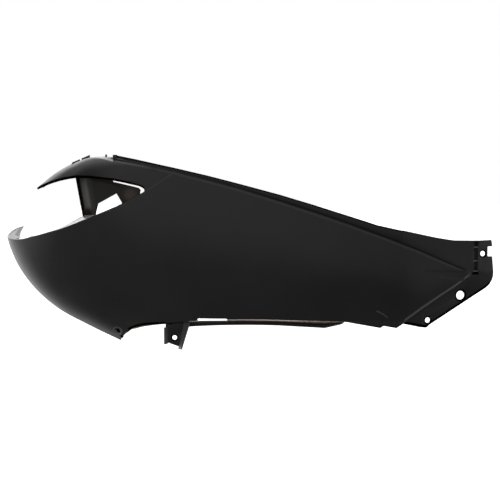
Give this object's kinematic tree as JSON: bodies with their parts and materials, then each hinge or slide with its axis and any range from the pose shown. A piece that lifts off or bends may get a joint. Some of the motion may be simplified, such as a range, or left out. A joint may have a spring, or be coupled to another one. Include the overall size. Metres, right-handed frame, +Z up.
{
  "type": "scooter side panel",
  "caption": "Moulded rear side panel of a scooter's fairing: a curved shell with a rounded nose, an open lamp mouth, stepped fixing flanges and a fixing tab.",
  "frame": {"origin": "on the flat outer face of the front flange, between its two lower holes", "axes": "+X forward along the panel, towards its narrow end; -Y out to the side it is seen from; +Z up"},
  "size_m": [0.6954, 0.1427, 0.2723],
  "materials": {
    "black_plastic": "semi-gloss moulded black plastic"
  },
  "bodies": {
    "root": {"side_panel": "black_plastic"}
  },
  "joints": []
}
